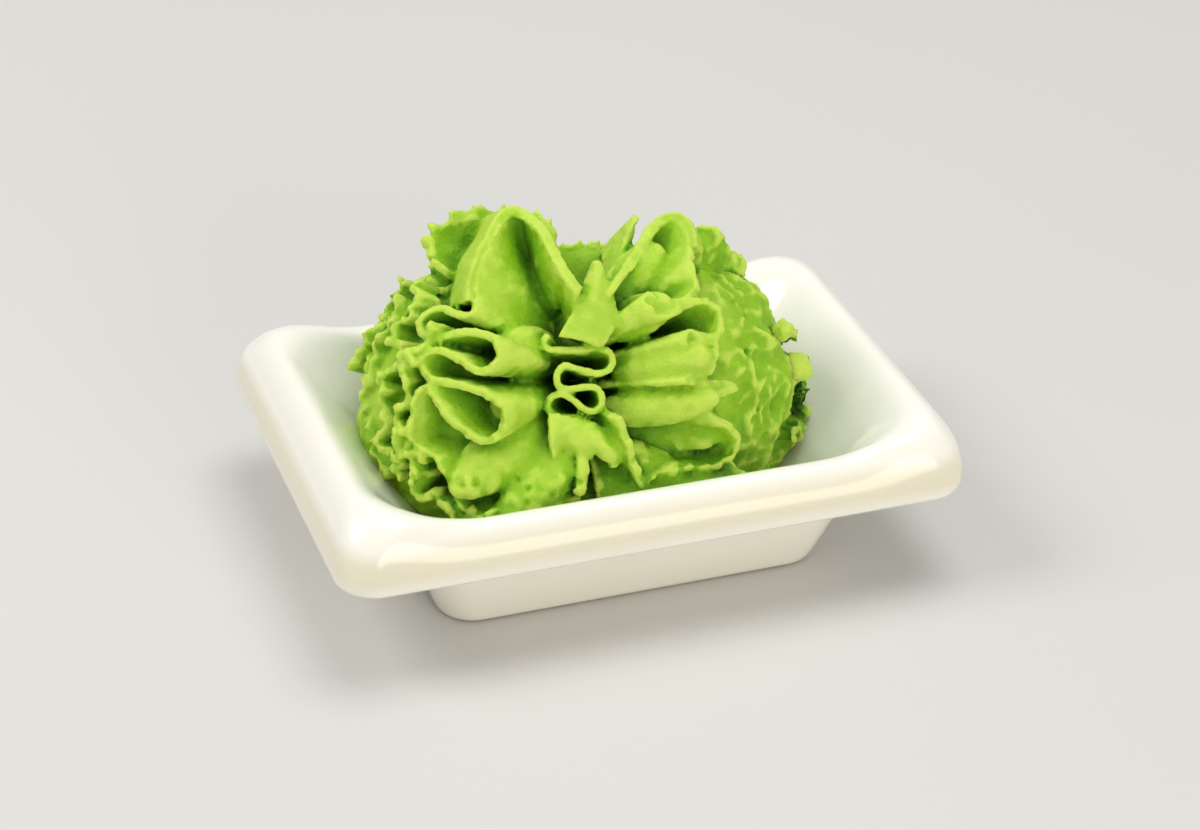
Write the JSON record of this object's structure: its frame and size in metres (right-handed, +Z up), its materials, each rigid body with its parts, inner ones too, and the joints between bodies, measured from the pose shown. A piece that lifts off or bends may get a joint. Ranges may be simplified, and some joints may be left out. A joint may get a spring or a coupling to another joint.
{
  "type": "sauce dish of wasabi paste",
  "caption": "Small rectangular glazed sauce dish with a broad rolled rim and a foot ring, holding a ruffled fan-shaped mound of green wasabi paste.",
  "frame": {"origin": "middle of the dish's outline, on the table under the foot ring", "axes": "+X along the dish's length towards its free end, -Y towards the side the ruffles face, +Z up"},
  "size_m": [0.09, 0.058, 0.0489],
  "materials": {
    "glaze": "glossy warm white glaze",
    "paste": "soft moist paste, light green at the ruffle rims and deeper green in the folds"
  },
  "bodies": {
    "root": {"dish": "glaze", "wasabi_paste": "paste"}
  },
  "joints": []
}
